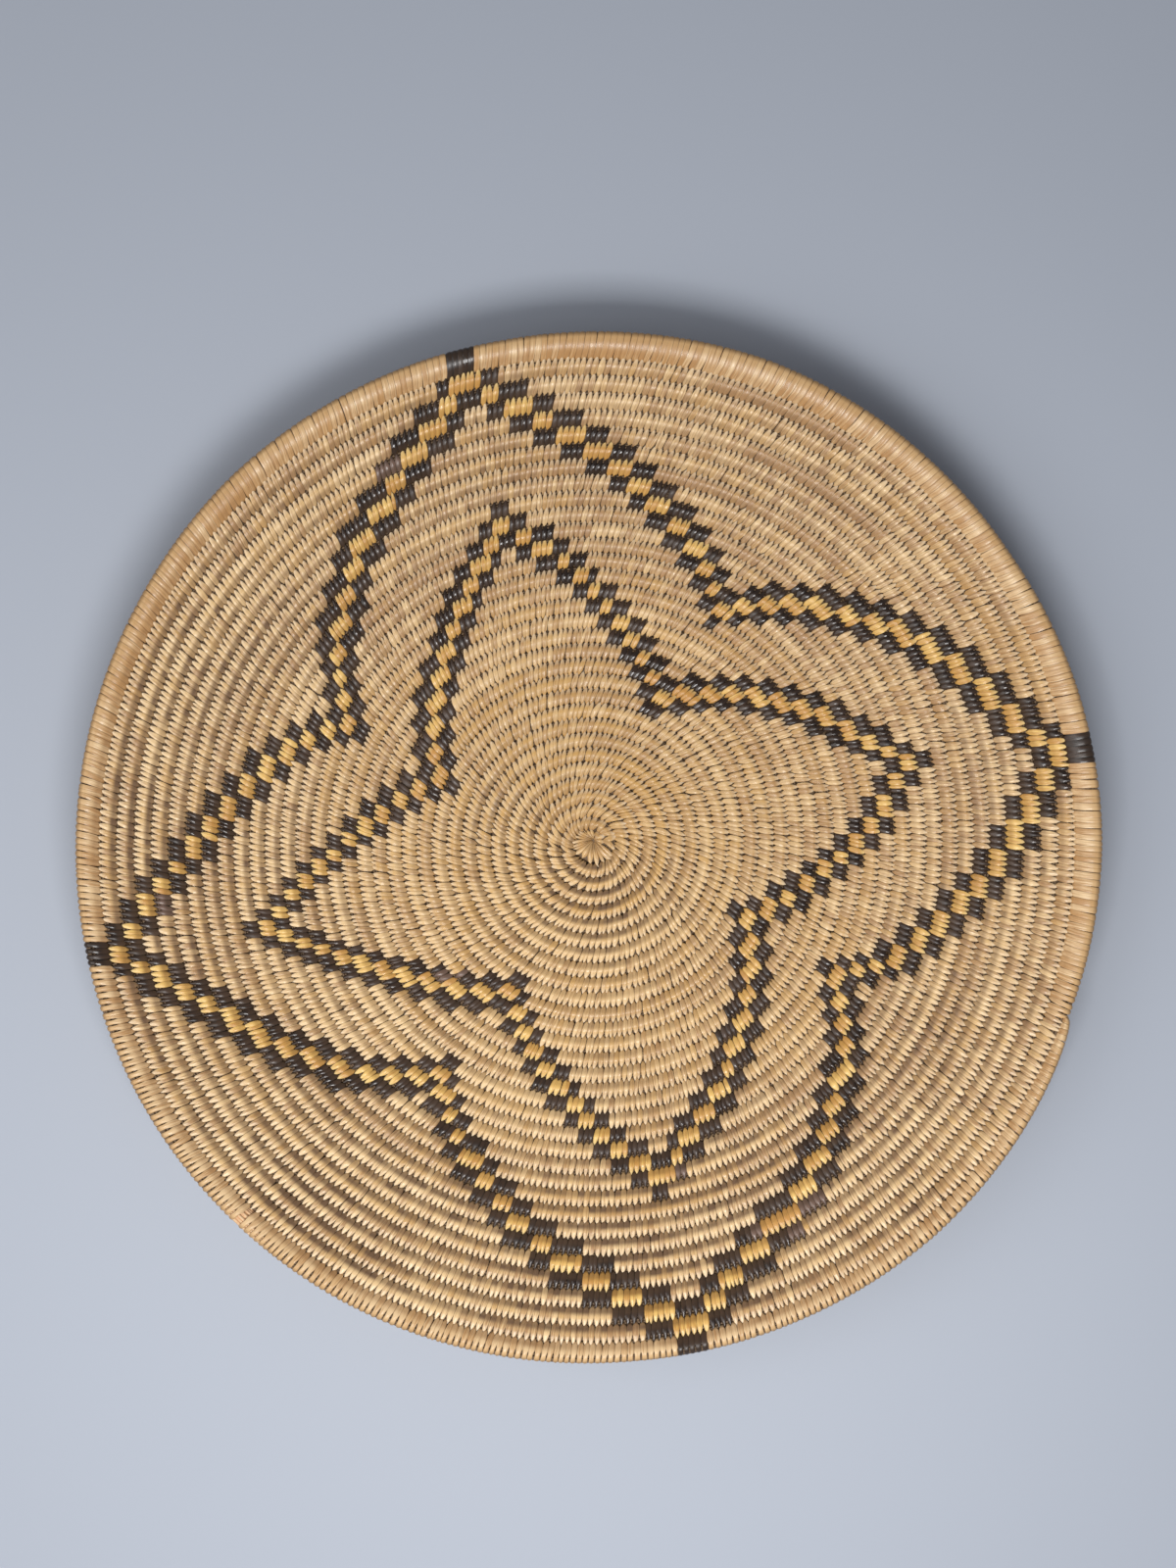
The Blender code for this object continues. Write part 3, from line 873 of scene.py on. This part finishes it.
KNOT_INNER_HALF = dict(across=[0, 0.45, 0.80, 1.0], up=[1, 0.96, 0.86, 0.70],
                       width=[1, 1, 1, 0.9], crown=[1, 1, 1, 1])


def knot_edges(turns):
    """The knot's wraps reach from just off the middle to the first row's inner seam."""
    within = np.clip(turns, 0, 1)
    return np.full_like(within, KNOT_CENTRE), seam(within)


def make_knot():
    """The wrapped button in the middle of the tray."""
    widths = 1 + KNOT_WIDTH_SPREAD * chance.standard_normal(KNOT_WEDGES)
    widths = np.maximum(KNOT_LEAST_WIDTH, widths)
    for wedge, width in KNOT_WIDE_WEDGES.items():
        widths[wedge] = width
    shares = widths / widths.sum()
    ones = np.ones(KNOT_WEDGES)
    wedges = dict(turns=np.cumsum(shares) - shares / 2, steps=shares * KNOT_OVERLAP,
                  tooth=1 + KNOT_TOOTH_SPREAD * chance.standard_normal(KNOT_WEDGES),
                  lift=KNOT_LIFT_SPREAD * chance.standard_normal(KNOT_WEDGES) - KNOT_SINK,
                  lean=KNOT_LEAN_SPREAD * chance.standard_normal(KNOT_WEDGES),
                  lobe=ones, full=ones * 0, tilt=ones * 0)
    tone = KNOT_TONE + KNOT_TONE_SPREAD * chance.standard_normal(KNOT_WEDGES)
    tone = np.clip(tone, 0, 1)
    stub = int(np.argmin(np.abs(wedges["turns"] - KNOT_STUB_TURNS)))
    for key, value in KNOT_STUB.items():
        wedges[key][stub] = value
    tone[stub] = 1
    places, across = bend_rings(**wedges, edges_at=knot_edges,
                                halves=(KNOT_OUTER_HALF, KNOT_INNER_HALF))
    middle_share = np.clip((1 - across) / 2, 0, 1)[:, :, None]
    places[:, :, :2] += np.array(KNOT_MIDDLE) * middle_share
    data = repeat_mesh(strip_ring, KNOT_WEDGES, "knot_wraps")
    data.vertices.foreach_set("co", places.reshape(-1))
    tone, warmth, dust = (np.repeat(values, len(ring_points))
                          for values in (tone, ones * INNER_WARMTH, ones * KNOT_DUST))
    give_values(data, tone=tone, warmth=warmth, dust=dust,
                across=across.reshape(-1) - KNOT_DUST_SHIFT)
    return add_piece("knot_wraps", data, natural_finish)


knot = make_knot()
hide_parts("start_knot")
print("knot height in mm:", round(max(vert.co.z for vert in knot.data.vertices) * 1000, 2))

# %% [markdown]
# ## The stems inside
#
# Inside every row lies a bundle of thin peeled stems. They show in the slots between the wraps,
# coloured dark brown as painted shade, and in their own pale colour at a worn spot on the rim,
# where a wrap has gone.
# Each stem is a straight cylinder cut into short lengths, then bent on to the coil as the wraps
# are. In the middle, where the bundle is bent too tightly to tell its stems apart, it is a flat
# button.

# %% Stem finish
# Peeled and dried, but never scraped: dull. Its dark brown is painted shade for the deep slots and
# the knot's core, and its own pale colour shows only where "bare" is set, at the worn spot. One
# patch of its grain is about 1.7 mm wide.
STEM_GRAIN = 1 / 600
STEM_GRAIN_DETAIL = 2.0

stem_finish = bpy.data.materials.new("dry_peeled_stem")
stem_finish.use_nodes = True
tree = stem_finish.node_tree
shader = tree.nodes["Principled BSDF"]
spot = add_node(tree, "ShaderNodeTexCoord")
grain = add_node(tree, "ShaderNodeTexNoise", {
    "Scale": 1 / STEM_GRAIN, "Detail": STEM_GRAIN_DETAIL}, {"Vector": spot.outputs["Object"]})
peeled = add_node(tree, "ShaderNodeMix", {
    "data_type": "RGBA", 6: linear("#dca473"), 7: linear("#f6d8ac")},
    {"Factor": grain.outputs["Fac"]})
bare = add_node(tree, "ShaderNodeAttribute", {"attribute_name": "bare"})
# Painted shade: dark brown everywhere but where the stems are bare.
painted_shade_stem = add_node(tree, "ShaderNodeMix", {"data_type": "RGBA", 6: linear("#725a41")},
                {"Factor": bare.outputs["Fac"], 7: peeled.outputs[2]})
tree.links.new(painted_shade_stem.outputs[2], shader.inputs["Base Color"])
shader.inputs["Roughness"].default_value = 0.6
print("stem grain in mm:", round(STEM_GRAIN * 1000, 1))

# %% The button of stems under the knot
KNOT_CORE_RADIUS = 0.0064
KNOT_CORE_THICKNESS = 0.0034


def make_knot_core():
    """The tightly bent stems under the knot's wraps, as a flat button that closes the middle."""
    button = bmesh.new()
    bmesh.ops.create_uvsphere(button, u_segments=32, v_segments=12, radius=1.0)
    bmesh.ops.scale(button, verts=button.verts, vec=(KNOT_CORE_RADIUS, KNOT_CORE_RADIUS,
                                                     KNOT_CORE_THICKNESS / 2))
    bmesh.ops.translate(button, verts=button.verts, vec=(0, 0, COIL_THICKNESS / 2))
    for face in button.faces:
        face.smooth = True
    data = bpy.data.meshes.new("knot_core")
    button.to_mesh(data)
    button.free()
    return add_piece("knot_core", data, stem_finish)


knot_core = make_knot_core()
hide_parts("start_knot")
print("faces in the knot's core:", len(knot_core.data.polygons))

# %% Bend the stems
# Pairs are shares across the row and up from its middle. A wave is its size, how often it comes and
# how far it shifts from stem to stem.
STEMS_IN_BUNDLE = 14
STEM_RING = (0.87, 0.52)
STEM_RADIUS = (0.16, 0.17)
CORE_RADIUS = (0.80, 0.50)
STEM_SIDES = 6
STEM_STEP = 0.008
STEM_LEAST_CUTS = 40
STEM_WAVES = [(0.03, 40, 9), (0.02, 97, 5)]
FOUNDATION_TURNS = 2
LAST_STEM_CUT = 0.01
BARE_REACH = 0.0065
RIM_SNUG = 0.90


def straight_stem(cuts):
    """A closed unit cylinder along Z, cut across into short lengths."""
    stem = bmesh.new()
    bmesh.ops.create_cone(stem, cap_ends=True, segments=STEM_SIDES, radius1=1, radius2=1, depth=1)
    long_edges = [edge for edge in stem.edges if abs(edge.verts[0].co.z - edge.verts[1].co.z) > 0.5]
    bmesh.ops.subdivide_edges(stem, edges=long_edges, cuts=cuts, use_grid_fill=True)
    for face in stem.faces:
        face.smooth = abs(face.normal.z) < 0.5
    data = bpy.data.meshes.new("stem")
    stem.to_mesh(data)
    stem.free()
    return data


def bend_bundle(points, first, last):
    """World places of a bundle's stems, thick core first, and the turns of one stem's points."""
    turns = first + (last - first) * (points[:, 2] + 0.5)
    edges = row_edges(turns)
    snug = np.where(turns > TURNS - 1, RIM_SNUG, 1.0)
    places = [put_on_section(turns, edges, CORE_RADIUS[0] * points[:, 0],
                             CORE_RADIUS[1] * points[:, 1])]
    for angle in 2 * np.pi * (np.arange(STEMS_IN_BUNDLE) + 0.5) / STEMS_IN_BUNDLE:
        wave = sum(size * np.sin(turns * often + angle * shift)
                   for size, often, shift in STEM_WAVES)
        across = STEM_RING[0] * np.cos(angle) + STEM_RADIUS[0] * points[:, 0] + wave
        across = np.where(across > 0, snug * across, across)
        up = STEM_RING[1] * np.sin(angle) + STEM_RADIUS[1] * points[:, 1]
        places.append(put_on_section(turns, edges, across, up))
    return np.concatenate(places), turns


def make_bundle(number, first, last):
    """One length of stems in its rows: a thick core that fills the middle, fine stems round it."""
    name = f"stem_bundle_{number:02d}"
    length = 2 * math.pi * float(row_radius((first + last) / 2)) * (last - first)
    stem = straight_stem(max(STEM_LEAST_CUTS, int(length / STEM_STEP)))
    places, turns = bend_bundle(np.array([vert.co for vert in stem.vertices]), first, last)
    data = repeat_mesh(stem, STEMS_IN_BUNDLE + 1, name)
    bpy.data.meshes.remove(stem)
    data.vertices.foreach_set("co", places.reshape(-1))
    near_worn = np.abs(turns - WORN_PLACE) < BARE_REACH
    give_values(data, bare=np.tile(near_worn, STEMS_IN_BUNDLE + 1))
    data.update()
    outward = bmesh.new()
    outward.from_mesh(data)
    bmesh.ops.recalc_face_normals(outward, faces=outward.faces)
    outward.to_mesh(data)
    outward.free()
    return add_piece(name, data, stem_finish)


for number in range(1, TURNS // FOUNDATION_TURNS + 1):
    last = min(number * FOUNDATION_TURNS, TURNS - LAST_STEM_CUT)
    bundle = make_bundle(number, (number - 1) * FOUNDATION_TURNS, last)
    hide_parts(f"foundation_{number:02d}")
